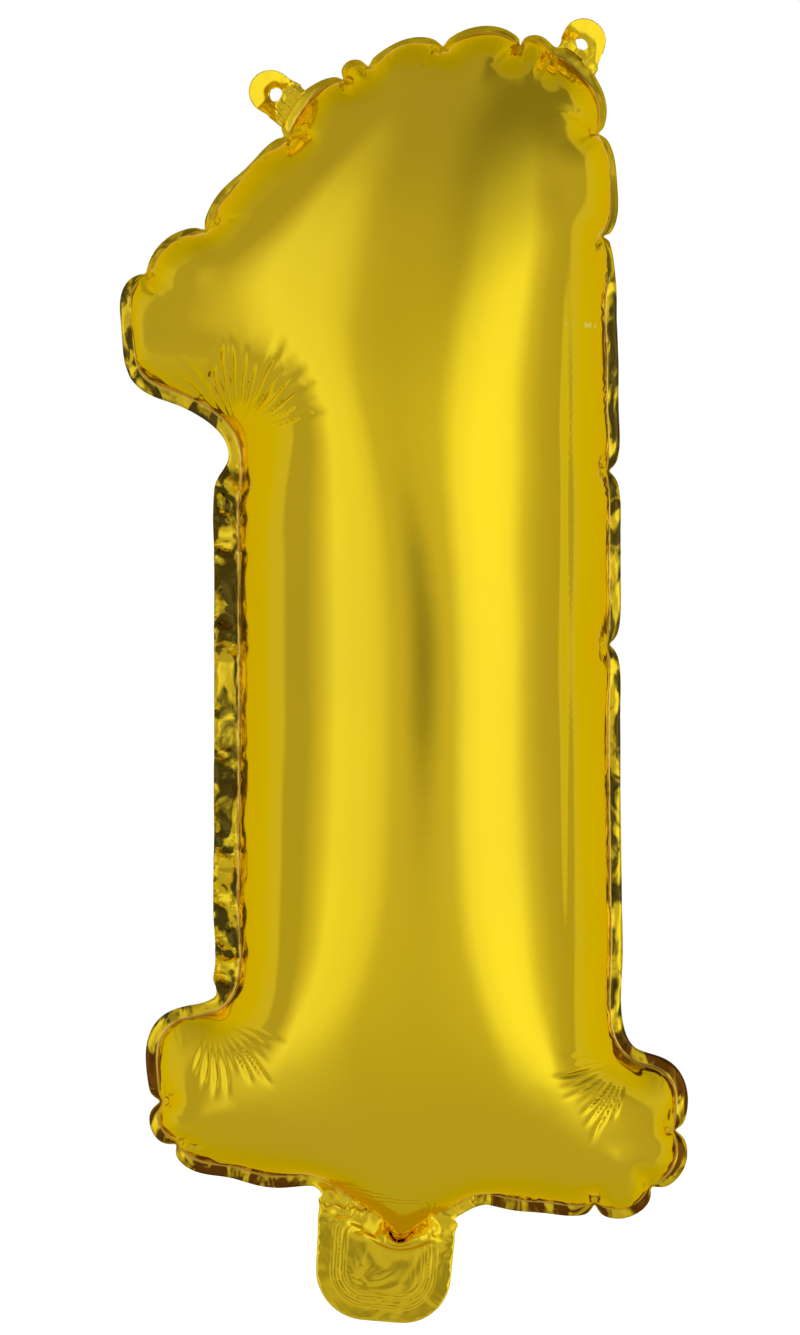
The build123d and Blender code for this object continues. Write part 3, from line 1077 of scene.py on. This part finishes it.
def crinkled(graph, place, across, pressed):
    """The film's surface: a faint grain, the lines of the valve's weld, and a crumpled border and neck."""
    grain = graph.product(graph.noise(place, 260.0, 3.0), 0.12)
    skin = graph.bump(graph.maths("ADD", grain, graph.noise(place, 45.0, 1.0)), 0.05, 0.002)
    first_line = graph.spread(pressed, 0.2, 0.9, 0.45, 0.0)
    second_line = graph.spread(graph.distance(pressed, WELD_LINE_GAP), 0.1, 0.8, 0.3, 0.0)
    loose = graph.product(graph.spread(across, 0.0, 3.0), graph.spread(pressed, 12, 19, 0.55, 1.0))
    crumple = graph.product(graph.noise(place, 60.0, 1.5, 2.0), loose, CRUMPLE)
    ridges = graph.maths("ADD", graph.maths("ADD", first_line, second_line), crumple)
    return graph.bump(ridges, 0.5, 0.0004, Normal=skin)


def gold_film():
    """Metallised film: bright yellow gold, with painted reflection warmer along the weld, patches of painted
    shade on the border, a painted highlight on a scuff, and a faint crinkle.
    """
    material, graph = new_material("gold_film")
    place = graph.add("TexCoord").outputs["Object"]
    across = graph.add("Attribute", attribute_name="across").outputs["Fac"]
    pressed = graph.add("Attribute", attribute_name="pressed").outputs["Fac"]
    blotch = graph.noise(place, 9.0, 2.0)
    body = graph.ramp(blotch, [(0.35, GOLD), (0.7, GOLD_DULL)])
    body = weld_with_painted_reflection(graph, body, across)
    body = painted_border_shade(graph, body, place, across, pressed)
    body = scuff_with_painted_highlight(graph, body, place)
    roughness = graph.spread(blotch, 0.3, 0.7, 0.08, 0.13, "LINEAR")
    looks = {"Base Color": body, "Specular Tint": (*EDGE_TINT, 1)}
    graph.finish(Metallic=1.0, Roughness=roughness, Normal=crinkled(graph, place, across, pressed), **looks)
    return material


def clear_film():
    """The valve's clear polyethylene, a little cloudy, with faint ripples."""
    material, graph = new_material("clear_film")
    cloud = graph.noise(graph.add("TexCoord").outputs["Object"], 60.0, 3.0)
    tint = graph.ramp(cloud, [(0.3, (0.86, 0.90, 0.92)), (0.7, (0.96, 0.97, 0.97))])
    roughness = graph.spread(cloud, 0.3, 0.7, 0.12, 0.28, "LINEAR")
    ripples = graph.bump(cloud, 0.25, 0.001)
    graph.finish(Roughness=roughness, Alpha=0.35, IOR=1.5, Normal=ripples, **{"Base Color": tint})
    return material


# ---- Studio ----
# Brightness of the studio round the camera, by the angle in degrees from the camera's side: a soft light
# at each side, and the room between and outside them.
STUDIO = [
    (-100, 0.47), (-82, 0.47), (-70, 0.69), (-59, 0.94), (-48, 0.90), (-38, 0.88), (-28, 0.80),
    (-19, 0.62), (0, 0.58), (19, 0.65), (28, 0.98), (38, 1.08), (48, 1.08), (59, 1.03), (70, 0.69),
    (82, 0.52), (100, 0.47),
]
OVERHEAD = 0.41
UNDERNEATH = 0.50
BACKDROP = 0.66  # brightness of the paper behind the balloon
SPOT_SIZE = (0.20, 0.10)  # half sizes of the dim spot where the camera stands, across and up, in radians
SPOT_HEIGHT = -0.05
SPOT_DIMMING = 0.5
LEFT_LIGHT_RISE = 0.26  # the left light reaches higher by this much
CORNER_DIMMING = 0.6  # the room is dimmer up on the right
WARM = (1.0, 0.93, 0.85)  # the room's tint; the soft lights are white


def studio_front(graph, angle, x, z, ends):
    """The lights and the room on the camera's side, with the dim spot and the dim corner."""
    stops = []
    for degrees, value in STUDIO:
        white = min(max((value - 0.7) / 0.25, 0), 1)
        stops.append(((degrees + 180) / 360, tuple(value * (white + (1 - white) * part) for part in WARM)))
    front = graph.ramp(graph.spread(angle, -math.pi, math.pi, kind="LINEAR"), stops)
    spot_across = graph.maths("DIVIDE", angle, SPOT_SIZE[0])
    spot_up = graph.maths("DIVIDE", graph.maths("SUBTRACT", z, SPOT_HEIGHT), SPOT_SIZE[1])
    squares = graph.maths("ADD", graph.maths("POWER", spot_across, 2.0), graph.maths("POWER", spot_up, 2.0))
    spot = graph.spread(graph.maths("SQRT", squares), 0.0, 1.4, SPOT_DIMMING, 1.0)
    front = graph.mixed(1.0, front, spot, "MULTIPLY")
    on_left = graph.spread(x, -0.5, -0.1, LEFT_LIGHT_RISE, 0.0)
    raised = graph.product(on_left, graph.spread(z, -0.05, 0.1))
    steep = graph.spread(graph.maths("SUBTRACT", graph.maths("ABSOLUTE", z), raised), 0.12, 0.85)
    front = graph.mixed(steep, front, ends)
    corner = graph.product(graph.spread(z, 0.2, 0.65), graph.spread(x, 0.0, 0.4))
    return graph.mixed(1.0, front, graph.spread(corner, 0.0, 1.0, 1.0, CORNER_DIMMING, "LINEAR"), "MULTIPLY")


def studio_light():
    """Soft light by direction: the studio in front and the pale backdrop behind. The camera sees white."""
    world = bpy.data.worlds.new("studio")
    bpy.context.scene.world = world
    world.use_nodes = True
    graph = Graph(world.node_tree)
    x, y, z = graph.add("SeparateXYZ", {0: graph.add("TexCoord").outputs["Generated"]}).outputs
    angle = graph.maths("ARCTAN2", x, graph.maths("MULTIPLY", y, -1.0))
    ends = [tuple(part * value for part in WARM) for value in (UNDERNEATH, OVERHEAD)]
    ends = graph.ramp(graph.spread(z, -0.1, 0.1), [(0.0, ends[0]), (1.0, ends[1])])
    paper = [part * BACKDROP for part in WARM]
    back = graph.mixed(graph.spread(graph.maths("ABSOLUTE", z), 0.25, 0.9), (*paper, 1), ends)
    glow = graph.mixed(graph.spread(y, 0.17, 0.23), studio_front(graph, angle, x, z, ends), back)
    lit = graph.add("Background", {"Color": glow, "Strength": 1.0})
    seen = graph.add("Background", {"Color": (1, 1, 1, 1), "Strength": 1.0})
    camera_ray = graph.add("LightPath").outputs["Is Camera Ray"]
    both = graph.add("MixShader", {0: camera_ray, 1: lit.outputs[0], 2: seen.outputs[0]})
    graph.add("OutputWorld", {"Surface": both.outputs[0]})


FLOOR_DROP = 90  # the balloon hangs this far above the floor
FLOOR_SIZE = 4000
FLOOR_GLOW = 0.72


def pale_floor():
    """A plain pale floor under the hanging balloon."""
    size = FLOOR_SIZE * MM / 2
    height = CAD_BOX[0][2] - FLOOR_DROP * MM
    mesh = bpy.data.meshes.new("floor")
    corners = [(-size, -size, height), (size, -size, height), (size, size, height), (-size, size, height)]
    mesh.from_pydata(corners, [], [(0, 1, 2, 3)])
    floor = placed("floor", mesh)
    material, graph = new_material("pale_floor")
    glow = {"Emission Color": (1, 1, 1, 1), "Emission Strength": FLOOR_GLOW}
    graph.finish(Roughness=1.0, **{"Base Color": (0.8, 0.8, 0.8, 1)}, **glow)
    mesh.materials.append(material)
    floor.visible_glossy = False


CAMERA_DISTANCE = 2.2
VIEW_MARGIN = 1.024  # height of the view, as a share of the model's height
VIEW_SHIFT = (-0.0007, 0.0008)  # middle of the view from the middle of the model, X and Z, in metres


def place_camera():
    low, high = (Vector(corner) for corner in CAD_BOX)
    middle = (low + high) / 2
    data = bpy.data.cameras.new("camera")
    data.sensor_fit = "VERTICAL"
    data.lens = data.sensor_height * CAMERA_DISTANCE / ((high.z - low.z) * VIEW_MARGIN)
    camera = placed("camera", data)
    camera.location = (middle.x + VIEW_SHIFT[0], -CAMERA_DISTANCE, middle.z + VIEW_SHIFT[1])
    camera.rotation_euler = (math.pi / 2, 0, 0)
    bpy.context.scene.camera = camera


generator = np.random.default_rng(3)
cad_seam, cad_edge = (resample(loop, 1200) for loop in flat_loops("front_panel")[-2:])
hinges = {joint["name"]: joint for joint in frame["joints"]}
tab_hinges = {"hang_tab_left": "tab_left_fold", "hang_tab_right": "tab_right_fold"}


def hinge_place(name):
    """A hinge's position on the seam plane."""
    x, _, z = hinges[name]["pos_m"]
    return np.array([x, z]) / MM


def bend_with_neck(piece):
    """The piece with its transform baked into its mesh; it is not made to bend."""
    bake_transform(piece)


places, flat, layers, parts = cut_film(generator)
places = inflate(places, layers, parts)
places = levelled(places, parts["seam"])
places = fitted(places, parts["held"], cad_seam)
tab_roots = np.array([hinge_place(name) for name in tab_hinges.values()])
places = eased(places, flat, parts, cad_seam, tab_roots)
places = tautened(places, flat, layers, parts, tab_roots)
places = settled_neck(places, flat, parts)
places = leaning_border(places, flat, parts, tab_roots, generator)

gold = gold_film()
clear = clear_film()

for side in ("front", "back"):
    film, neck = make_film(side, places, flat, layers, parts, generator)
    film.data.materials.append(gold)
    neck.data.materials.append(gold)
    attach(film, "envelope")
    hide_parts(side + "_panel")
    bend_with_neck(neck)
    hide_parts("neck_" + side + "_ply")

for node, hinge in tab_hinges.items():
    tab = make_tab(node, places, parts, cad_edge, generator)
    tab.data.materials.append(gold)
    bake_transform(tab)
    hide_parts(node)

for node in ("valve_front_film", "valve_back_film", "valve_inlet_front_film", "valve_inlet_back_film"):
    side = -1 if "front" in node else 1
    valve = make_valve_film(node, side, places, parts, generator)
    valve.data.materials.append(clear)
    if "inlet" in node:
        bend_with_neck(valve)
    else:
        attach(valve, "envelope")
    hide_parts(node)

studio_light()
pale_floor()
place_camera()
bpy.context.scene.view_settings.view_transform = "Standard"
